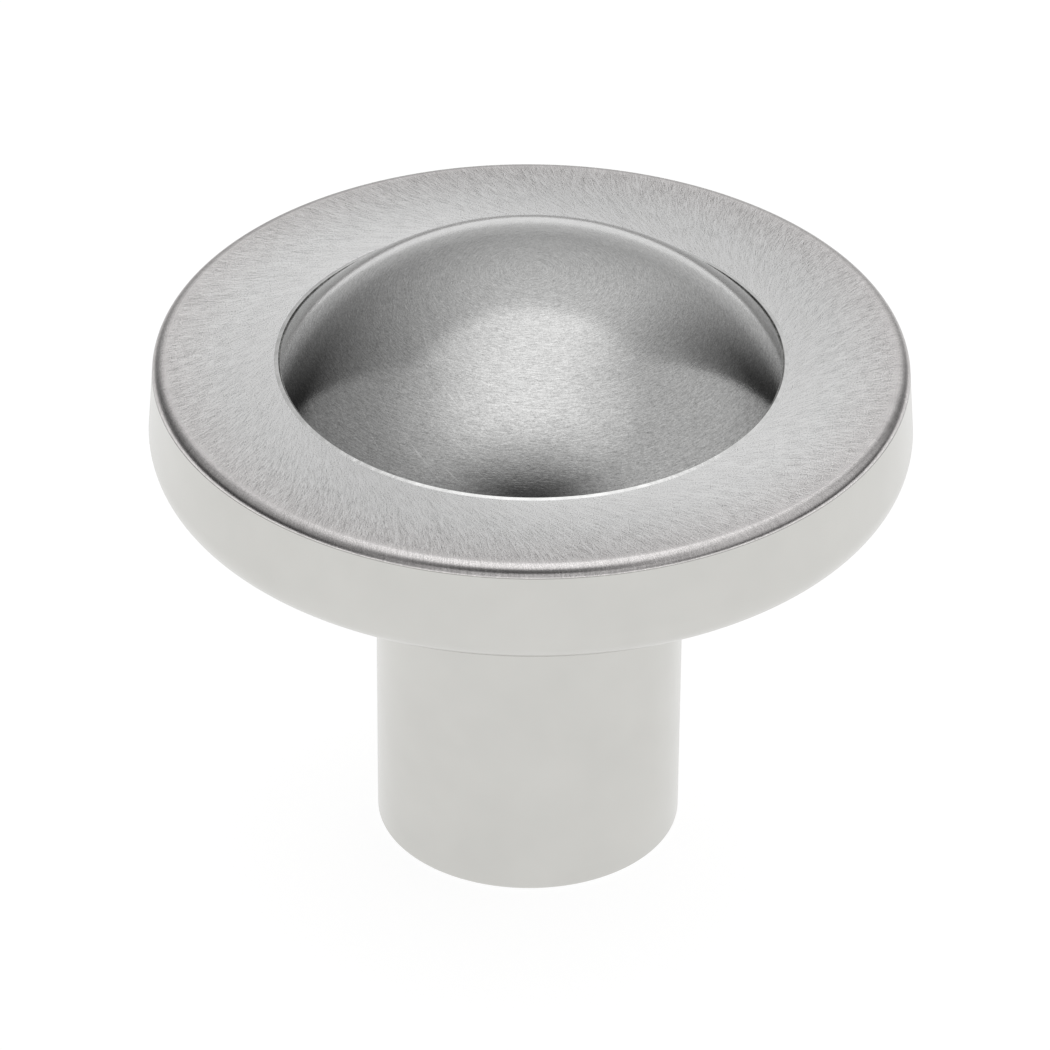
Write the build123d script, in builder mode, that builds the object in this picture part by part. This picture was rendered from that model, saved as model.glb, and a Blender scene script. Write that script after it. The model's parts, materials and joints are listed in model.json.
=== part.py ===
from build123d import *
import os
from math import cos, radians, sin, sqrt, tan

# A cabinet knob, cast in one piece: a round head with a flat rim and a dome in its middle, on a plain
# stem with a hole for one screw. The base face lies on Z = 0 and the dome points up.
# Lengths are in millimetres and angles in degrees.

# Head
head_diameter = 35.0  # at its widest line, low on the side
head_thickness = 5.4  # from the flat rim to the underside
rim_height = 24.7  # from the base face to the flat rim
side_draft = 3.5  # the side leans in towards the rim
rim_edge_radius = 0.65  # round between the rim and the side
under_edge_radius = 1.8  # round between the side and the underside

# Stem
base_diameter = 14.0  # where the stem meets the door or drawer front
stem_draft = 0.4  # the stem widens towards the head
base_edge_chamfer = 0.25

# Dome
dome_diameter = 23.1  # where its curve comes down to the flat rim
dome_rise = 4.93  # from the flat rim to the top of the dome
groove_width = 0.12  # fine groove that is cut into the dome's foot
groove_depth = 0.15  # from the flat rim to the floor of the groove

# Screw hole
bore_diameter = 3.3  # tapping size of an M4 thread
bore_depth = 13.0  # from the base face
mouth_diameter = 4.4  # of the countersink that leads the screw in
mouth_angle = 90.0

# Heights and radii that follow from the sizes above
head_radius = head_diameter / 2
underside_height = rim_height - head_thickness
base_radius = base_diameter / 2
neck_radius = base_radius + underside_height * tan(radians(stem_draft))
dome_radius = dome_diameter / 2
crown_radius = (dome_radius**2 + dome_rise**2) / (2 * dome_rise)
top_height = rim_height + dome_rise
groove_height = rim_height - groove_depth
foot_radius = dome_radius - groove_width
foot_height = top_height - crown_radius + sqrt(crown_radius**2 - foot_radius**2)


def side_radius(height):
    """Radius of the head's side, drawn out straight to the given height.

    The side is the line that touches the under-edge round and leans in by the draft angle.
    """
    draft = radians(side_draft)
    round_centre_x = head_radius - under_edge_radius
    round_centre_z = underside_height + under_edge_radius
    return round_centre_x + (under_edge_radius - (height - round_centre_z) * sin(draft)) / cos(draft)


with BuildPart() as knob:
    # Half section of the casting, turned about its own axis
    with BuildSketch(Plane.XZ):
        with BuildLine():
            stem = Polyline((0, 0), (base_radius, 0), (neck_radius, underside_height))
            head = FilletPolyline(
                stem @ 1,
                (side_radius(underside_height), underside_height),
                (side_radius(rim_height), rim_height),
                (dome_radius, rim_height),
                radius=[under_edge_radius, rim_edge_radius],
            )
            groove = Polyline(
                head @ 1,
                (dome_radius, groove_height),
                (foot_radius, groove_height),
                (foot_radius, foot_height),
            )
            TangentArc((0, top_height), groove @ 1, tangent=(1, 0))
            Line((0, top_height), stem @ 0)
        make_face()
    revolve(axis=Axis.Z)

    # Edge break round the base face
    base_face = knob.faces().sort_by(Axis.Z)[0]
    chamfer(base_face.outer_wire().edges(), length=base_edge_chamfer)

    # Blind screw hole, up into the stem from the base face
    with Locations(Location((0, 0, 0), (180, 0, 0))):
        CounterSinkHole(
            radius=bore_diameter / 2,
            counter_sink_radius=mouth_diameter / 2,
            depth=bore_depth,
            counter_sink_angle=mouth_angle,
        )

knob.part.label = "knob"

os.makedirs("parts", exist_ok=True)
export_step(knob.part, "parts/knob.step")
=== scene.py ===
"""Dresses the cabinet knob: a finely brushed nickel casting on a pale floor in soft studio light."""

import json
import math

import bpy
import numpy as np
from bpy.props import FloatProperty, FloatVectorProperty, IntProperty, PointerProperty
from mathutils import Matrix, Vector


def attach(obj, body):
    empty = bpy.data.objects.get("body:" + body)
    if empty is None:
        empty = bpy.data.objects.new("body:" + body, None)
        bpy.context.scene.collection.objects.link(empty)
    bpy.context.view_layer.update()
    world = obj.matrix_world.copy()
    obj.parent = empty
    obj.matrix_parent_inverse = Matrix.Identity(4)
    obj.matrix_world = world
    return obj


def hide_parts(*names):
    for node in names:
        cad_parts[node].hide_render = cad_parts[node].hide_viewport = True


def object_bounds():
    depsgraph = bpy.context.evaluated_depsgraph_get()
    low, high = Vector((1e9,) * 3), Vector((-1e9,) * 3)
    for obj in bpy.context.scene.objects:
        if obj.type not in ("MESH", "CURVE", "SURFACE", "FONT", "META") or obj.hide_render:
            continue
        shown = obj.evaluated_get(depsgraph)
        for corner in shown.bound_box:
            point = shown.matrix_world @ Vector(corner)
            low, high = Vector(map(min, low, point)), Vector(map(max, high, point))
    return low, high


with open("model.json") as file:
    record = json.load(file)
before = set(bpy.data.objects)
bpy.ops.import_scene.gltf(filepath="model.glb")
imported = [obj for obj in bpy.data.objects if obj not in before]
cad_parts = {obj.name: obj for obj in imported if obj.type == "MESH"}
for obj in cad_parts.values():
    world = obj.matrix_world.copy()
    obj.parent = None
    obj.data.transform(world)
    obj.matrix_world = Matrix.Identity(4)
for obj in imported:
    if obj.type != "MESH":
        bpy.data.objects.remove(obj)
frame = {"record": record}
cad_low, cad_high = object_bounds()

bl_info = {
    "name": "Brushed Cabinet Knob",
    "version": (1, 0, 0),
    "blender": (4, 5, 0),
    "location": "View3D > Sidebar > Knob",
    "description": "Builds a brushed nickel cabinet knob and the stage it is shown on",
    "category": "Add Mesh",
}

MM = 0.001
BODY = "root"
NODE = "knob"
screw_hole = next(mount for mount in frame["record"]["mounts"] if mount["name"] == "screw_hole")


def length(name, description, millimetres):
    """A length property, given in millimetres and kept in metres."""
    return FloatProperty(name=name, description=description, default=millimetres * MM, min=0.0,
                         unit="LENGTH", precision=5)


def angle(name, description, degrees):
    """An angle property, given in degrees and kept in radians."""
    return FloatProperty(name=name, description=description, default=math.radians(degrees), subtype="ANGLE")


def factor(name, description, default):
    """A plain number property from zero up."""
    return FloatProperty(name=name, description=description, default=default, min=0.0)


def colour(name, description, default):
    """A colour property."""
    return FloatVectorProperty(name=name, description=description, subtype="COLOR", size=3, min=0.0,
                               max=1.0, default=default)


class KnobShape(bpy.types.PropertyGroup):
    """Sizes of the casting's half section"""

    head_diameter: length("Head Diameter", "Widest line, low on the side", (cad_high.x - cad_low.x) / MM)
    top_height: length("Height", "From the base face to the top of the dome", cad_high.z / MM)
    rim_height: length("Rim Height", "From the base face to the flat rim", 24.7)
    head_thickness: length("Head Thickness", "From the flat rim to the underside", 5.4)
    side_draft: angle("Side Draft", "Lean of the head's side towards the rim", 3.5)
    brow_radius: length("Brow Radius", "Easy round at the outer edge of the rim", 0.6)
    brow_sweep: angle("Brow Sweep", "Turn of that round before the tighter one", 40.0)
    rim_edge_radius: length("Rim Edge Radius", "Tighter round between the brow and the side", 0.6)
    rim_edge_sweep: angle("Rim Edge Sweep", "Turn of the surface where it meets the side in a crease", 80.0)
    under_edge_radius: length("Under Edge Radius", "Round between the side and the underside", 1.8)
    base_diameter: length("Base Diameter", "Stem at the base face", 14.0)
    stem_draft: angle("Stem Draft", "Widening of the stem towards the head", 0.4)
    base_edge_radius: length("Base Edge Radius", "Round at the foot of the stem", 0.25)
    neck_radius: length("Neck Radius", "Round where the stem meets the underside", 0.15)
    dome_diameter: length("Dome Diameter", "Where the dome's curve comes down to the flat rim", 23.0)
    slit: length("Slit", "Fine groove between the dome and the lip, as wide as this at the rim", 0.05)
    lip_height: length("Lip Height", "Fine lip outside the groove, above the rim", 0.045)
    lip_slope: angle("Lip Slope", "Rise of the lip's outer flank", 15.0)
    lip_radius: length("Lip Radius", "Round on top of the lip", 0.02)
    notch: length("Notch", "Fine step where the rim's round meets the side", 0.04)
    bore_diameter: length("Bore Diameter", "Inside the thread's crests", 2 * screw_hole["dims"]["r_mm"])
    bore_depth: length("Bore Depth", "From the base face to the end of the hole", 13.0)
    mouth_diameter: length("Mouth Diameter", "Countersink at the base face", 4.4)
    thread_pitch: length("Thread Pitch", "Advance of the thread in one turn", 0.7)
    thread_depth: length("Thread Depth", "From the thread's crests to its roots", 0.35)
    columns: IntProperty(name="Columns", description="Points round the axis", default=216, min=24)


class KnobFinish(bpy.types.PropertyGroup):
    """Colour and brushing of the nickel"""

    # Painted light: the rim's nickel, used on the lip too, is set far lighter than the same nickel on the
    # dome and the side
    lit_rim_colour: colour("Rim", "Brushed nickel on the rim", (0.897, 0.897, 0.892))
    lit_edge_colour: colour("Rim Edge", "Warmer nickel at the rim's outer edge", (0.925, 0.893, 0.886))
    dome_colour: colour("Dome", "Brushed nickel on the dome", (0.60, 0.60, 0.595))
    plain_colour: colour("Side and Stem", "Satin nickel on the side and stem", (0.612, 0.607, 0.583))
    rim_roughness: factor("Rim Roughness", "Blur of reflections on the rim, by the dome", 0.36)
    edge_roughness: factor("Rim Edge Roughness", "Blur of reflections on the rim, by its outer edge", 0.42)
    dome_roughness: factor("Dome Roughness", "Blur of reflections on the dome", 0.09)
    brow_roughness: factor("Brow Roughness", "Blur of reflections on the rim's outer round", 0.27)
    plain_roughness: factor("Plain Roughness", "Blur of reflections on the side and stem", 0.24)
    stroke_width: length("Stroke Width", "Width of one brush stroke", 0.052)
    stroke_length: length("Stroke Length", "Length of one brush stroke", 0.5)
    stroke_height: length("Stroke Height", "Height of the brush strokes", 0.004)
    stroke_contrast: factor("Stroke Contrast", "Change of tone between brush strokes", 1.25)
    swirl_radius: length("Swirl Radius", "Radius at which the swirl of the rim's strokes is given", 14.3)
    swirl_turn: angle("Swirl Turn", "Turn of the rim's strokes about the axis, at that radius", 6.74)
    swirl_fade: length("Swirl Fade", "Step outwards in which the swirl falls by a factor of e", 2.4)


class KnobStage(bpy.types.PropertyGroup):
    """Camera and floor"""

    camera_distance: length("Camera Distance", "From the camera to the middle of the rim", 552.6)
    camera_elevation: angle("Camera Elevation", "Height of the camera above the horizon", 32.68)
    camera_roll: angle("Camera Roll", "Turn of the camera about its own axis", 0.455)
    focal_length: FloatProperty(name="Focal Length", description="Lens, in millimetres on a 36 mm sensor",
                                default=415.3, unit="CAMERA")
    floor_radius: length("Floor Radius", "Radius of the round floor", 250.0)


def arc(centre, radius, start, end, count):
    """Points on a circle in the half section, evenly turned from the start angle to the end angle."""
    turn = np.linspace(start, end, count)
    return np.stack([centre[0] + radius * np.cos(turn), centre[1] + radius * np.sin(turn)], axis=1)


def line(start, end, count):
    """Points spread evenly on a straight line in the half section."""
    share = np.linspace(0.0, 1.0, count)[:, None]
    return (1.0 - share) * np.array(start) + share * np.array(end)


THREAD_RINGS = 8  # rings of points in one turn of the thread
NOTCH_ROOT = 0.2  # depth of the notch's root below the crease, as a share of the notch


def half_section(shape):
    """Half section of the casting from the end of the bore, round the outside, to the top of the dome.

    Each band is a finish, a set of points (radius, height) and whether the thread runs on it. A band starts
    on the last point of the one before it.
    """
    quarter = math.pi / 2
    head_radius = shape.head_diameter / 2
    base_radius = shape.base_diameter / 2
    dome_radius = shape.dome_diameter / 2
    bore_radius = shape.bore_diameter / 2
    mouth_radius = shape.mouth_diameter / 2
    rim = shape.rim_height
    underside = rim - shape.head_thickness
    draft = shape.side_draft

    # The side touches the under-edge round and leans in by the draft; the rim's round meets it in a crease.
    under = shape.under_edge_radius
    under_centre = (head_radius - under, underside + under)
    brow = shape.brow_radius
    edge = shape.rim_edge_radius
    turn_sine, turn_cosine = math.sin(shape.brow_sweep), math.cos(shape.brow_sweep)
    end_sine, end_cosine = math.sin(shape.rim_edge_sweep), math.cos(shape.rim_edge_sweep)
    crease = rim - brow * (1.0 - turn_cosine) - edge * (turn_cosine - end_cosine)
    side_reach = (under - (crease - under_centre[1]) * math.sin(draft)) / math.cos(draft)
    crease_radius = under_centre[0] + side_reach
    edge_centre = (crease_radius - edge * end_sine, crease - edge * end_cosine)
    brow_centre = (edge_centre[0] + (edge - brow) * turn_sine, rim - brow)
    edge_start = quarter - shape.rim_edge_sweep
    brow_start = quarter - shape.brow_sweep

    # The stem widens by its own draft, with small rounds at the base and the neck.
    slope = math.tan(shape.stem_draft)
    base_round = shape.base_edge_radius
    neck_round = shape.neck_radius
    stem_low = (base_radius + base_round * slope, base_round)
    stem_high = (base_radius + (underside - neck_round) * slope, underside - neck_round)
    base_centre = (stem_low[0] - base_round, base_round)
    neck_centre = (stem_high[0] + neck_round, stem_high[1])

    # The crown is the circle that is level on the axis and reaches the rim's plane at the dome's radius. It
    # runs on down into a fine groove, whose outer wall is the inside of a fine lip on the rim.
    rise = shape.top_height - rim
    crown = (dome_radius ** 2 + rise ** 2) / (2 * rise)
    crown_centre = (0.0, shape.top_height - crown)
    lip_inside = dome_radius + shape.slit
    crown_start = math.acos(lip_inside / crown)
    slit_floor = (lip_inside, crown_centre[1] + crown * math.sin(crown_start))
    lip = shape.lip_radius
    lip_centre = (lip_inside + lip, rim + shape.lip_height - lip)
    lip_slope = shape.lip_slope
    flank_high = (lip_centre[0] + lip * math.sin(lip_slope), lip_centre[1] + lip * math.cos(lip_slope))
    flank_low = (flank_high[0] + (flank_high[1] - rim) / math.tan(lip_slope), rim)
    notch_low = (crease_radius + shape.notch * math.tan(draft), crease - shape.notch)
    notch_root = (crease_radius - shape.notch, crease - NOTCH_ROOT * shape.notch)
    side_low = (under_centre[0] + under * math.cos(draft), under_centre[1] + under * math.sin(draft))
    countersink = mouth_radius - bore_radius
    bore_rings = round((shape.bore_depth - countersink) / shape.thread_pitch * THREAD_RINGS)
    return [
        ("plain", line((0.0, shape.bore_depth), (bore_radius, shape.bore_depth), 4), False),
        ("plain", line((bore_radius, shape.bore_depth), (bore_radius, countersink), bore_rings), True),
        ("plain", line((bore_radius, countersink), (mouth_radius, 0.0), 5), False),
        ("plain", line((mouth_radius, 0.0), (base_centre[0], 0.0), 6), False),
        ("plain", arc(base_centre, base_round, -quarter, 0.0, 9), False),
        ("plain", line(stem_low, stem_high, 24), False),
        ("plain", arc(neck_centre, neck_round, 2 * quarter, quarter, 7), False),
        ("plain", line((neck_centre[0], underside), (under_centre[0], underside), 8), False),
        ("plain", arc(under_centre, under, -quarter, draft, 28), False),
        ("plain", line(side_low, notch_low, 10), False),
        ("plain", line(notch_low, notch_root, 3), False),
        ("plain", line(notch_root, (crease_radius, crease), 3), False),
        ("rim", arc(edge_centre, edge, edge_start, brow_start, 12), False),
        ("rim", arc(brow_centre, brow, brow_start, quarter, 12), False),
        ("rim", line((brow_centre[0], rim), flank_low, 16), False),
        ("lip", line(flank_low, flank_high, 4), False),
        ("lip", arc(lip_centre, lip, quarter - lip_slope, 2 * quarter, 8), False),
        ("dome", line((lip_inside, lip_centre[1]), slit_floor, 4), False),
        ("dome", arc(crown_centre, crown, crown_start, quarter, 72), False),
    ]


def revolved(points, columns):
    """Turns a half section about Z: x = r cos(a), y = r sin(a), with a from zero to a full turn."""
    turn = np.linspace(0.0, 2 * math.pi, columns, endpoint=False)
    radius = points[:, :1]
    height = np.repeat(points[:, 1:], columns, axis=1)
    return np.stack([radius * np.cos(turn), radius * np.sin(turn), height], axis=2)


def threaded(points, columns, pitch, depth):
    """A bore wall whose radius swells by a triangle wave of (height / pitch - turn): its roots form a helix.

    The wave fades in and out over one pitch at both ends, where it meets the plain rings.
    """
    turn = np.linspace(0.0, 1.0, columns, endpoint=False)
    height = points[:, 1:]
    phase = (height / pitch - turn) % 1.0
    wave = 1.0 - np.abs(2.0 * phase - 1.0)
    run_out = np.minimum(height - height.min(), height.max() - height) / pitch
    radius = points[:, :1] + depth * wave * np.clip(run_out, 0.0, 1.0)
    spin = 2 * math.pi * turn
    heights = np.repeat(height, columns, axis=1)
    return np.stack([radius * np.cos(spin), radius * np.sin(spin), heights], axis=2)


AXIS_REACH = 1e-9  # points nearer to the axis than this lie on it


def surface_normals(grid):
    """Normals of a grid of points: the cross product of its steps along the section and round the axis."""
    along = np.gradient(grid, axis=0, edge_order=2)
    around = np.roll(grid, -1, axis=1) - np.roll(grid, 1, axis=1)
    on_axis = np.linalg.norm(grid[..., :2], axis=2) < AXIS_REACH
    normal = np.cross(around, along)
    normal[on_axis] = (0.0, 0.0, 1.0)
    return normal / np.linalg.norm(normal, axis=2, keepdims=True)


def revolved_mesh(name, bands, shape, finishes):
    """Joins the bands' grids ring to ring into one closed mesh. Each band has its own normals at its ends."""
    columns = shape.columns
    rings = []
    quads = []
    normals = []
    slots = []
    row = 0
    ring = np.arange(columns)
    next_on_ring = np.roll(ring, -1)
    for finish, points, has_thread in bands:
        if has_thread:
            grid = threaded(points, columns, shape.thread_pitch, shape.thread_depth)
        else:
            grid = revolved(points, columns)
        normal = surface_normals(grid)
        steps = len(points) - 1
        start = (row + np.arange(steps))[:, None] * columns
        here = start + ring
        beside = start + next_on_ring
        quads.append(np.stack([here, beside, beside + columns, here + columns], axis=2).reshape(-1, 4))
        low, high = normal[:-1], normal[1:]
        corner = np.stack([low, low[:, next_on_ring], high[:, next_on_ring], high], axis=2)
        normals.append(corner.reshape(-1, 4, 3))
        slots.append(np.full(steps * columns, finishes.index(finish)))
        rings.append(grid if not rings else grid[1:])
        row += steps
    vertices = np.concatenate(rings).reshape(-1, 3)
    faces = np.concatenate(quads)
    corners = np.concatenate(normals)
    material_index = np.concatenate(slots)

    # The first and last rings lie on the axis: each becomes one point, and its quads become triangles.
    last = len(vertices) - columns
    faces = np.where(faces < columns, 0, faces)
    faces = np.where(faces >= last, last, faces) - np.where(faces >= columns, columns - 1, 0)
    vertices = np.concatenate([vertices[:1], vertices[columns:last + 1]])
    first_fan = np.arange(len(faces)) < columns
    last_fan = np.arange(len(faces)) >= len(faces) - columns
    keep = np.ones(faces.shape, bool)
    keep[first_fan, 1] = False
    keep[last_fan, 3] = False
    sides = keep.sum(axis=1)

    mesh = bpy.data.meshes.new(name)
    mesh.vertices.add(len(vertices))
    mesh.vertices.foreach_set("co", vertices.ravel())
    mesh.loops.add(int(sides.sum()))
    mesh.loops.foreach_set("vertex_index", faces[keep].astype(np.int32))
    mesh.polygons.add(len(faces))
    loop_start = np.concatenate([[0], np.cumsum(sides)[:-1]])
    mesh.polygons.foreach_set("loop_start", loop_start.astype(np.int32))
    mesh.polygons.foreach_set("material_index", material_index.astype(np.int32))
    mesh.update(calc_edges=True)
    mesh.validate()
    mesh.polygons.foreach_set("use_smooth", np.ones(len(faces), bool))
    mesh.normals_split_custom_set(corners[keep])
    return mesh


def add_node(tree, kind, inputs=None, **settings):
    """Adds a node, with its settings, and sets each named input to a value or links it to a socket."""
    node = tree.nodes.new(kind)
    for key, value in settings.items():
        setattr(node, key, value)
    for key, value in (inputs or {}).items():
        if isinstance(value, bpy.types.NodeSocket):
            tree.links.new(value, node.inputs[key])
        else:
            node.inputs[key].default_value = value
    return node


def calculate(tree, operation, first, second=0.0):
    """One number worked out of two."""
    return add_node(tree, "ShaderNodeMath", {0: first, 1: second}, operation=operation).outputs[0]


def grey(level):
    """An opaque grey."""
    return (level, level, level, 1.0)


def scaled(tree, vector, scale):
    """A vector times a number."""
    return add_node(tree, "ShaderNodeVectorMath", {0: vector, "Scale": scale}, operation="SCALE").outputs[0]


def vector_length(tree, vector):
    """Length of a vector."""
    return add_node(tree, "ShaderNodeVectorMath", {0: vector}, operation="LENGTH").outputs["Value"]


def polar_place(tree):
    """Place on the knob in millimetres: the point, its part across the axis, and that part's length."""
    place = add_node(tree, "ShaderNodeTexCoord").outputs["Object"]
    point = scaled(tree, place, 1.0 / MM)
    level = {0: point, 1: (1.0, 1.0, 0.0)}
    flat = add_node(tree, "ShaderNodeVectorMath", level, operation="MULTIPLY").outputs[0]
    return point, flat, vector_length(tree, flat)


def new_material(name):
    """An empty node material with its shader and output."""
    material = bpy.data.materials.new(name)
    material.use_nodes = True
    tree = material.node_tree
    tree.nodes.clear()
    shader = add_node(tree, "ShaderNodeBsdfPrincipled")
    add_node(tree, "ShaderNodeOutputMaterial", {"Surface": shader.outputs["BSDF"]})
    return material, tree, shader


def metal(shader, tint, roughness):
    """Sets a nickel finish on a shader."""
    shader.inputs["Base Color"].default_value = (*tint, 1.0)
    shader.inputs["Metallic"].default_value = 1.0
    shader.inputs["Roughness"].default_value = roughness


NOISE_ROUGHNESS = 0.6


def noise(tree, vector, detail):
    """Smooth noise between about zero and one, with features about one unit across."""
    inputs = {"Vector": vector, "Scale": 1.0, "Detail": detail, "Roughness": NOISE_ROUGHNESS}
    return add_node(tree, "ShaderNodeTexNoise", inputs).outputs["Fac"]


def turned(tree, vector, turn):
    """A vector turned about Z."""
    return add_node(tree, "ShaderNodeVectorRotate", {"Vector": vector, "Angle": turn},
                    rotation_type="Z_AXIS").outputs[0]


def lifted(tree, vector, height):
    """A flat vector with a height."""
    lift = add_node(tree, "ShaderNodeCombineXYZ", {"Z": height}).outputs[0]
    return add_node(tree, "ShaderNodeVectorMath", {0: vector, 1: lift}, operation="ADD").outputs[0]


def multiply_add(tree, value, scale, offset):
    """A number times a scale, plus an offset."""
    node = add_node(tree, "ShaderNodeMath", {0: value, 1: scale, 2: offset}, operation="MULTIPLY_ADD")
    return node.outputs[0]


def spread(tree, value, low, high, first, last):
    """A number that goes from first to last while another goes from low to high."""
    inputs = {"Value": value, "From Min": low, "From Max": high, "To Min": first, "To Max": last}
    return add_node(tree, "ShaderNodeMapRange", inputs).outputs["Result"]


def rim_swirl(tree, finish, reach):
    """Turn of a rim stroke at a distance from the axis: swirl_turn e^((swirl_radius - r) / swirl_fade)."""
    fade = finish.swirl_fade / MM
    start = finish.swirl_radius / finish.swirl_fade
    power = calculate(tree, "EXPONENT", multiply_add(tree, reach, -1.0 / fade, start))
    return calculate(tree, "MULTIPLY", power, finish.swirl_turn)


STROKE_DETAIL = 2.0
MEAN_RIM_RADIUS = 14.3  # in millimetres; here the rim's strokes have their given width


def rim_strokes(tree, flat, reach, swirl, width, stretch, seed):
    """Strokes that swirl outwards: noise on (direction turned by the swirl / width, radius / length)."""
    leaning = turned(tree, flat, swirl)
    heading = add_node(tree, "ShaderNodeVectorMath", {0: leaning}, operation="NORMALIZE").outputs[0]
    across = scaled(tree, heading, MEAN_RIM_RADIUS / width)
    return noise(tree, lifted(tree, across, multiply_add(tree, reach, 1.0 / stretch, seed)), STROKE_DETAIL)


def round_strokes(tree, flat, reach, width, stretch, seed):
    """Strokes that run round the axis: noise on (place / length, radius / width)."""
    along = scaled(tree, flat, 1.0 / stretch)
    return noise(tree, lifted(tree, along, multiply_add(tree, reach, 1.0 / width, seed)), STROKE_DETAIL)


# Numbers of a mix node's colour sockets, whose names are shared with its other sockets
MIX_FIRST = 6
MIX_SECOND = 7
MIX_RESULT = 2


def mixed(tree, share, first, second):
    """Two colours mixed by a share of the second."""
    inputs = {0: share, MIX_FIRST: first, MIX_SECOND: second}
    return add_node(tree, "ShaderNodeMix", inputs, data_type="RGBA").outputs[MIX_RESULT]


def toned(tree, shader, tint, tone):
    """Links a colour times a tone to a shader's base colour."""
    tree.links.new(scaled(tree, tint, tone), shader.inputs["Base Color"])


def bumped(tree, shader, height, distance):
    """Links a bump of a height to a shader's normal."""
    bump = add_node(tree, "ShaderNodeBump", {"Height": height, "Strength": 1.0, "Distance": distance})
    tree.links.new(bump.outputs["Normal"], shader.inputs["Normal"])


# Places in the noise, far enough apart that sets of strokes don't repeat each other
FIRST_SEED = 0.0
SECOND_SEED = 40.0
THIRD_SEED = 80.0
GRAIN_DETAIL = 1.0

RIM_ANISOTROPY = 0.7
RIM_GLANCING_TINT = 0.7
RIM_FIRST_SWIRL = 0.8  # swirl of each of the two sets of strokes, as a share of the finish's own
RIM_SECOND_SWIRL = 1.3
STREAK_WIDTH = 9  # broad streaks, in widths and lengths of a stroke
STREAK_LENGTH = 6
STREAK_TONE = 0.16
RIM_STROKE_SHARE = 0.7  # of the strokes and of the grains in the relief, and the mean that they add up to
RIM_GRAIN_SHARE = 1.6
RIM_MEAN_RELIEF = 1.5
BROW_START = 1.05  # millimetres in from the head's widest line, where the brow's finish starts and is full
BROW_FULL = 0.75
BROW_RELIEF = 0.4  # share of the relief that is left on the brow
# Painted light and shade: the rim's colour is raised by the dome and lowered towards its outer edge, standing
# in for how light falls on the rim
RIM_INNER_PAINTED_LIGHT = 1.08
RIM_OUTER_PAINTED_SHADE = 0.8
WARM_START = 14.0  # radius in millimetres from which the colour grows warmer


def brushed_rim(finish, shape):
    """Nickel brushed outwards in a swirl, with the reflections drawn out across the strokes, painted light by
    the dome and painted shade towards the outer edge.
    """
    material, tree, shader = new_material("brushed_rim")
    metal(shader, finish.lit_rim_colour, finish.rim_roughness)
    shader.inputs["Anisotropic"].default_value = RIM_ANISOTROPY
    shader.inputs["Specular Tint"].default_value = grey(RIM_GLANCING_TINT)
    point, flat, reach = polar_place(tree)
    width = finish.stroke_width / MM
    stretch = finish.stroke_length / MM
    inner = shape.dome_diameter / 2 / MM
    edge = shape.head_diameter / 2 / MM
    brow_start = edge - BROW_START
    brow_full = edge - BROW_FULL

    swirl = rim_swirl(tree, finish, reach)
    first_swirl = calculate(tree, "MULTIPLY", swirl, RIM_FIRST_SWIRL)
    second_swirl = calculate(tree, "MULTIPLY", swirl, RIM_SECOND_SWIRL)
    first = rim_strokes(tree, flat, reach, first_swirl, width, stretch, FIRST_SEED)
    second = rim_strokes(tree, flat, reach, second_swirl, width, stretch, SECOND_SEED)
    strokes = calculate(tree, "ADD", first, second)
    grains = noise(tree, scaled(tree, point, 1.0 / width), GRAIN_DETAIL)
    grain_height = calculate(tree, "MULTIPLY", grains, RIM_GRAIN_SHARE)
    height = multiply_add(tree, strokes, RIM_STROKE_SHARE, grain_height)
    calm = spread(tree, reach, brow_start, brow_full, 1.0, BROW_RELIEF)
    relief = calculate(tree, "MULTIPLY", calculate(tree, "SUBTRACT", height, RIM_MEAN_RELIEF), calm)
    bumped(tree, shader, relief, finish.stroke_height)

    # Painted light and shade: the colour is lighter by the dome and darker towards the outer edge
    shade = spread(tree, reach, inner, edge, RIM_INNER_PAINTED_LIGHT, RIM_OUTER_PAINTED_SHADE)
    grain = calculate(tree, "MULTIPLY", relief, finish.stroke_contrast)
    broad = rim_strokes(tree, flat, reach, swirl, STREAK_WIDTH * width, STREAK_LENGTH * stretch, THIRD_SEED)
    streaks = multiply_add(tree, broad, STREAK_TONE, -STREAK_TONE / 2)
    tone = calculate(tree, "ADD", shade, calculate(tree, "ADD", grain, streaks))
    warmth = spread(tree, reach, WARM_START, edge, 0.0, 1.0)
    # Painted light: both rim colours are lighter than the nickel of the dome and the side
    tint = mixed(tree, warmth, (*finish.lit_rim_colour, 1.0), (*finish.lit_edge_colour, 1.0))
    toned(tree, shader, tint, tone)

    roughness = spread(tree, reach, inner, brow_start, finish.rim_roughness, finish.edge_roughness)
    brow_change = finish.brow_roughness - finish.edge_roughness
    smoother = spread(tree, reach, brow_start, brow_full, 0.0, brow_change)
    tree.links.new(calculate(tree, "ADD", roughness, smoother), shader.inputs["Roughness"])

    # A stroke leans from the radius by the arctangent of r swirl / swirl_fade, and the tangent lies across it
    slant = calculate(tree, "MULTIPLY", calculate(tree, "MULTIPLY", reach, swirl), MM / finish.swirl_fade)
    lean = calculate(tree, "ARCTANGENT", slant)
    tree.links.new(turned(tree, flat, calculate(tree, "ADD", lean, math.pi / 2)), shader.inputs["Tangent"])
    return material


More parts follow.
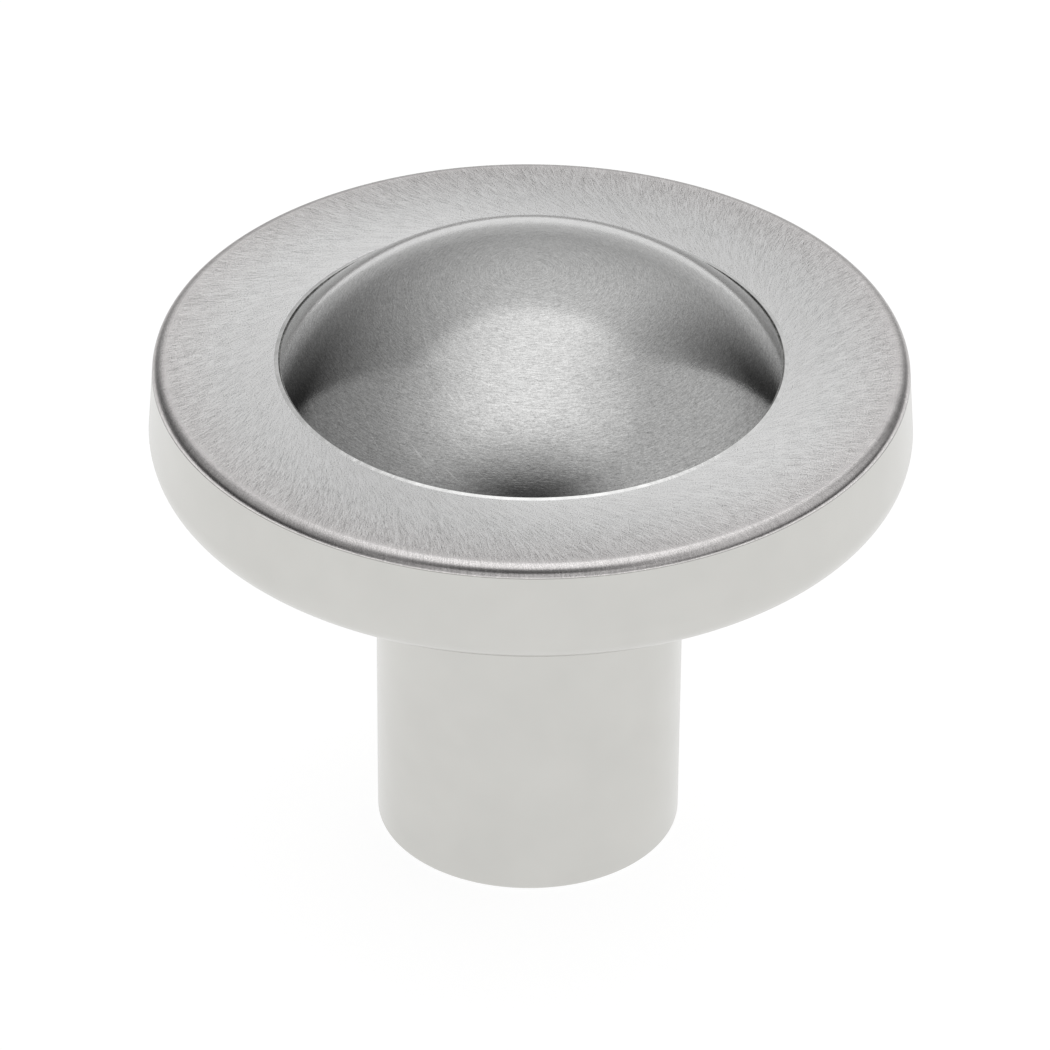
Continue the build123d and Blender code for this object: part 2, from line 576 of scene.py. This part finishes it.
DOME_GLANCING_TINT = 0.85
DOME_STROKE_WIDTH = 0.8  # strokes on the dome, in widths and lengths of the finish's own
DOME_LONG_STROKE = 0.9
DOME_SHORT_STROKE = 0.3
MOTTLES_PER_MM = 6.0
MOTTLE_DETAIL = 2.0
MOTTLE_SHARE = 1.3  # of the mottle in the relief
DOME_RELIEF = 0.3  # of the finish's stroke height and contrast
DOME_CONTRAST = 0.7
DOME_MEAN_HEIGHT = 1.5  # of the strokes and grains together
SCRATCH_MIDDLE = (4.0, -2.5, 0.0)  # in millimetres
SCRATCH_WIDTH = 1.2  # in widths and lengths of a stroke
SCRATCH_LENGTH = 6
SCRATCH_NOISE = (0.62, 0.74)  # noise at which a scratch starts and is full
SCRATCH_TONE = 0.3
SCRATCH_REACH = (5.0, 9.0)  # millimetres from their middle, where scratches start and are full


def brushed_dome(finish):
    """Nickel brushed round the axis, with a few longer scratches."""
    material, tree, shader = new_material("brushed_dome")
    metal(shader, finish.dome_colour, finish.dome_roughness)
    shader.inputs["Specular Tint"].default_value = grey(DOME_GLANCING_TINT)
    point, flat, reach = polar_place(tree)
    width = finish.stroke_width / MM
    stretch = finish.stroke_length / MM
    fine = DOME_STROKE_WIDTH * width
    first = round_strokes(tree, flat, reach, fine, DOME_LONG_STROKE * stretch, FIRST_SEED)
    second = round_strokes(tree, flat, reach, fine, DOME_SHORT_STROKE * stretch, SECOND_SEED)
    grains = noise(tree, scaled(tree, point, 1.0 / width), GRAIN_DETAIL)
    height = calculate(tree, "ADD", calculate(tree, "ADD", first, second), grains)
    mottle = noise(tree, scaled(tree, point, MOTTLES_PER_MM), MOTTLE_DETAIL)
    relief = multiply_add(tree, mottle, MOTTLE_SHARE, height)
    bumped(tree, shader, relief, DOME_RELIEF * finish.stroke_height)
    contrast = DOME_CONTRAST * finish.stroke_contrast
    tone = multiply_add(tree, height, contrast, 1.0 - DOME_MEAN_HEIGHT * contrast)

    # The longer scratches run round a point beside the axis, and fade out towards it
    offset = {0: flat, 1: SCRATCH_MIDDLE}
    beside = add_node(tree, "ShaderNodeVectorMath", offset, operation="SUBTRACT").outputs[0]
    far = vector_length(tree, beside)
    scratch_width = SCRATCH_WIDTH * width
    scratch_length = SCRATCH_LENGTH * stretch
    long_strokes = round_strokes(tree, beside, far, scratch_width, scratch_length, THIRD_SEED)
    scratches = spread(tree, long_strokes, *SCRATCH_NOISE, 0.0, SCRATCH_TONE)
    scratches = calculate(tree, "MULTIPLY", scratches, spread(tree, far, *SCRATCH_REACH, 0.0, 1.0))
    toned(tree, shader, tuple(finish.dome_colour), calculate(tree, "ADD", tone, scratches))
    return material


LIP_ROUGHNESS = 0.16
NICKS_PER_MM = 1.6
NICK_DETAIL = 3.0
NICK_HEIGHT = 0.03 * MM
NICK_NOISE = (0.35, 0.6)  # noise at which the lip's tone is lowest and highest
NICK_TONE = (0.85, 1.0)


def worn_lip(finish):
    """Nickel on the lip round the dome, rubbed smooth, in the rim's colour that is lightened as painted
    light, with small nicks.
    """
    material, tree, shader = new_material("worn_lip")
    metal(shader, finish.lit_rim_colour, LIP_ROUGHNESS)
    point, _, _ = polar_place(tree)
    nicks = noise(tree, scaled(tree, point, NICKS_PER_MM), NICK_DETAIL)
    bumped(tree, shader, nicks, NICK_HEIGHT)
    toned(tree, shader, tuple(finish.lit_rim_colour), spread(tree, nicks, *NICK_NOISE, *NICK_TONE))
    return material


PLAIN_GRAINS_PER_MM = 12.0
PLAIN_RELIEF = 0.0008 * MM
CLOUDS_PER_MM = 0.25
CLOUD_TONE = 0.12
PLAIN_DETAIL = 3.0


def plain_nickel(finish):
    """Satin nickel as it comes from the plating bath, on the side, the underside, the stem and the bore."""
    material, tree, shader = new_material("plain_nickel")
    metal(shader, finish.plain_colour, finish.plain_roughness)
    point, _, _ = polar_place(tree)
    height = noise(tree, scaled(tree, point, PLAIN_GRAINS_PER_MM), PLAIN_DETAIL)
    bumped(tree, shader, height, PLAIN_RELIEF)
    clouds = noise(tree, scaled(tree, point, CLOUDS_PER_MM), PLAIN_DETAIL)
    tone = multiply_add(tree, clouds, CLOUD_TONE, 1.0 - CLOUD_TONE / 2)
    toned(tree, shader, tuple(finish.plain_colour), tone)
    return material


class KNOB_OT_casting(bpy.types.Operator):
    """Build the knob's casting in the place of its solid"""

    bl_idname = "knob.casting"
    bl_label = "Casting"

    def execute(self, context):
        shape = context.scene.knob_shape
        finish = context.scene.knob_finish
        materials = {
            "plain": plain_nickel(finish),
            "rim": brushed_rim(finish, shape),
            "lip": worn_lip(finish),
            "dome": brushed_dome(finish),
        }
        mesh = revolved_mesh("knob_casting", half_section(shape), shape, list(materials))
        for material in materials.values():
            mesh.materials.append(material)
        casting = bpy.data.objects.new("knob_casting", mesh)
        context.scene.collection.objects.link(casting)
        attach(casting, BODY)
        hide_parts(NODE)
        return {"FINISHED"}


# Light of the studio by elevation in degrees, as a share of the overhead panel's. The levels were set one by
# one
BACK_WALL = ((-6, 0.65), (8, 0.47), (51, 0.71), (57, 1.0))
LEFT_GAP = ((-8, 0.35), (0, 0.27), (8, 0.02), (18, 0.02), (35, 0.2), (51, 0.36), (57, 0.6), (70, 0.88),
            (80, 1.0))
RIGHT_GAP = ((-8, 0.35), (0, 0.27), (8, 0.03), (18, 0.04), (35, 0.24), (51, 0.46), (57, 0.65), (70, 0.9),
             (80, 1.0))
LEFT_WALL = ((-9, 0.2), (0, 0.03), (16, 0.04), (22, 0.22), (45, 0.35), (60, 0.56), (76, 0.9), (85, 1.0))
RIGHT_WALL = ((-9, 0.2), (0, 0.05), (8, 0.1), (13, 0.3), (30, 0.52), (56, 0.55), (75, 0.86), (85, 1.0))
FRONT_WALL = ((-5, 0.6), (0, 0.5), (25, 0.5), (29, 0.03), (57, 0.07), (62, 0.29), (70, 0.56), (76, 0.82),
              (85, 1.0))
PANEL_LIGHT = 1.15

# Angles off the middle of the back in degrees, between which the light of one wall goes over into the next
BACK_TO_LEFT_GAP = (-4.0, 58.0)
BACK_TO_RIGHT_GAP = (17.0, 50.0)
LEFT_GAP_TO_WALL = (57.0, 59.5)
RIGHT_GAP_TO_WALL = (53.0, 55.5)
LEFT_TO_RIGHT = (-30.0, 30.0)
SIDES_TO_FRONT = (114.0, 176.0)


def elevation_ramp(tree, height, levels):
    """A wall's light by the sine of the elevation."""
    ramp = add_node(tree, "ShaderNodeValToRGB", {"Fac": multiply_add(tree, height, 0.5, 0.5)})
    elements = ramp.color_ramp.elements
    while len(elements) < len(levels):
        elements.new(0.5)
    for element, (elevation, level) in zip(elements, levels):
        element.position = 0.5 + 0.5 * math.sin(math.radians(elevation))
        element.color = grey(level)
    return ramp.outputs["Color"]


def blend_range(tree, value, low, high):
    """A smooth step of an angle between two angles in degrees."""
    inputs = {"Value": value, "From Min": math.radians(low), "From Max": math.radians(high)}
    return add_node(tree, "ShaderNodeMapRange", inputs, interpolation_type="SMOOTHSTEP").outputs["Result"]


def studio_world(scene):
    """Lights the studio by direction: a panel overhead, side walls, a back wall between gaps, and a front."""
    world = bpy.data.worlds.new("studio")
    scene.world = world
    world.use_nodes = True
    tree = world.node_tree
    tree.nodes.clear()
    heading = add_node(tree, "ShaderNodeTexCoord").outputs["Generated"]
    parts = add_node(tree, "ShaderNodeSeparateXYZ", {0: heading})
    # Azimuth is zero behind the knob and grows to the right
    azimuth = calculate(tree, "ARCTAN2", parts.outputs["X"], parts.outputs["Y"])
    leftward = calculate(tree, "MULTIPLY", azimuth, -1.0)
    aside = calculate(tree, "ABSOLUTE", azimuth)
    height = parts.outputs["Z"]
    off_middle = calculate(tree, "MAXIMUM", blend_range(tree, azimuth, *BACK_TO_RIGHT_GAP),
                           blend_range(tree, leftward, *BACK_TO_LEFT_GAP))
    past_gap = calculate(tree, "MAXIMUM", blend_range(tree, azimuth, *RIGHT_GAP_TO_WALL),
                         blend_range(tree, leftward, *LEFT_GAP_TO_WALL))
    rightward = blend_range(tree, azimuth, *LEFT_TO_RIGHT)
    to_front = blend_range(tree, aside, *SIDES_TO_FRONT)
    walls = (BACK_WALL, LEFT_GAP, RIGHT_GAP, LEFT_WALL, RIGHT_WALL, FRONT_WALL)
    back, left_gap, right_gap, left, right, front = [elevation_ramp(tree, height, wall) for wall in walls]
    gap = mixed(tree, rightward, left_gap, right_gap)
    sides = mixed(tree, rightward, left, right)
    light = mixed(tree, past_gap, mixed(tree, off_middle, back, gap), mixed(tree, to_front, sides, front))
    background = add_node(tree, "ShaderNodeBackground", {"Color": light, "Strength": PANEL_LIGHT})
    add_node(tree, "ShaderNodeOutputWorld", {"Surface": background.outputs[0]})


FLOOR_POINTS = 96
FLOOR_DROP = 0.02 * MM  # below the base face, so that the two don't share a plane
FLOOR_MATT = 0.85  # where it scatters light
FLOOR_SHADED = 0.25  # where it is seen or mirrored: a matt part that keeps the shadow, and a white glow
FLOOR_GLOW = 0.9


def pale_floor(stage):
    """A round white floor that keeps the knob's shadow."""
    turn = np.linspace(0.0, 2 * math.pi, FLOOR_POINTS, endpoint=False)
    ring = np.stack([np.cos(turn), np.sin(turn), np.zeros(FLOOR_POINTS)], axis=1) * stage.floor_radius
    mesh = bpy.data.meshes.new("floor")
    mesh.from_pydata(ring, [], [np.arange(FLOOR_POINTS)])
    material = bpy.data.materials.new("pale_floor")
    material.use_nodes = True
    tree = material.node_tree
    tree.nodes.clear()
    path = add_node(tree, "ShaderNodeLightPath")
    seen = calculate(tree, "MAXIMUM", path.outputs["Is Camera Ray"], path.outputs["Is Glossy Ray"])
    seen = calculate(tree, "MAXIMUM", seen, path.outputs["Is Transmission Ray"])
    matt = add_node(tree, "ShaderNodeBsdfDiffuse", {"Color": grey(FLOOR_MATT)})
    shaded = add_node(tree, "ShaderNodeBsdfDiffuse", {"Color": grey(FLOOR_SHADED)})
    white = add_node(tree, "ShaderNodeEmission", {"Color": grey(1.0), "Strength": FLOOR_GLOW})
    bright = add_node(tree, "ShaderNodeAddShader", {0: shaded.outputs[0], 1: white.outputs[0]})
    surface = add_node(tree, "ShaderNodeMixShader", {0: seen, 1: matt.outputs[0], 2: bright.outputs[0]})
    add_node(tree, "ShaderNodeOutputMaterial", {"Surface": surface.outputs[0]})
    mesh.materials.append(material)
    floor = bpy.data.objects.new("floor", mesh)
    floor.location.z = -FLOOR_DROP
    bpy.context.scene.collection.objects.link(floor)


# Pixels of the photograph: the side of its frame, and where the middle of the rim lies in it
FRAME_SIDE = 1050
RIM_MIDDLE_PIXEL = (530.9, 358.64)
SENSOR_WIDTH = 36.0


def photo_camera(scene):
    """Places the camera round the middle of the rim, and aims it so that this point falls on its pixel."""
    stage = scene.knob_stage
    data = bpy.data.cameras.new("camera")
    data.sensor_width = SENSOR_WIDTH
    data.lens = stage.focal_length
    elevation = stage.camera_elevation
    outward = Vector((0.0, -math.cos(elevation), math.sin(elevation)))
    right = Vector((1.0, 0.0, 0.0))
    upward = outward.cross(right)
    roll = stage.camera_roll
    right, upward = (math.cos(roll) * right + math.sin(roll) * upward,
                     math.cos(roll) * upward - math.sin(roll) * right)
    middle = (FRAME_SIDE - 1) / 2
    pixels_per_unit = stage.focal_length / SENSOR_WIDTH * FRAME_SIDE
    aim = (-outward + right * (middle - RIM_MIDDLE_PIXEL[0]) / pixels_per_unit
           - upward * (middle - RIM_MIDDLE_PIXEL[1]) / pixels_per_unit).normalized()
    right = aim.cross(upward).normalized()
    upward = right.cross(aim)
    turn = Matrix((right, upward, -aim)).transposed()
    camera = bpy.data.objects.new("camera", data)
    place = Vector((0.0, 0.0, scene.knob_shape.rim_height)) + outward * stage.camera_distance
    camera.matrix_world = Matrix.Translation(place) @ turn.to_4x4()
    scene.collection.objects.link(camera)
    scene.camera = camera


class KNOB_OT_stage(bpy.types.Operator):
    """Build the floor, the studio light and the camera"""

    bl_idname = "knob.stage"
    bl_label = "Stage"

    def execute(self, context):
        scene = context.scene
        scene.view_settings.view_transform = "Standard"
        pale_floor(scene.knob_stage)
        studio_world(scene)
        photo_camera(scene)
        return {"FINISHED"}


class KNOB_PT_sidebar(bpy.types.Panel):
    """Lists the knob's sizes, finish and stage with the buttons that build them"""

    bl_idname = "KNOB_PT_sidebar"
    bl_label = "Cabinet Knob"
    bl_space_type = "VIEW_3D"
    bl_region_type = "UI"
    bl_category = "Knob"

    def draw(self, context):
        scene = context.scene
        for group in (scene.knob_shape, scene.knob_finish, scene.knob_stage):
            box = self.layout.box()
            for name in group.bl_rna.properties.keys():
                if name not in {"rna_type", "name"}:
                    box.prop(group, name)
        self.layout.operator(KNOB_OT_casting.bl_idname)
        self.layout.operator(KNOB_OT_stage.bl_idname)


CLASSES = (KnobShape, KnobFinish, KnobStage, KNOB_OT_casting, KNOB_OT_stage, KNOB_PT_sidebar)


def register():
    """Adds the classes and the settings to Blender."""
    for cls in CLASSES:
        bpy.utils.register_class(cls)
    bpy.types.Scene.knob_shape = PointerProperty(type=KnobShape)
    bpy.types.Scene.knob_finish = PointerProperty(type=KnobFinish)
    bpy.types.Scene.knob_stage = PointerProperty(type=KnobStage)


def unregister():
    """Takes the settings and the classes out again."""
    del bpy.types.Scene.knob_stage
    del bpy.types.Scene.knob_finish
    del bpy.types.Scene.knob_shape
    for cls in reversed(CLASSES):
        bpy.utils.unregister_class(cls)


def main():
    """Registers the classes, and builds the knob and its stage."""
    register()
    bpy.ops.knob.casting()
    bpy.ops.knob.stage()


if __name__ == "__main__":
    main()
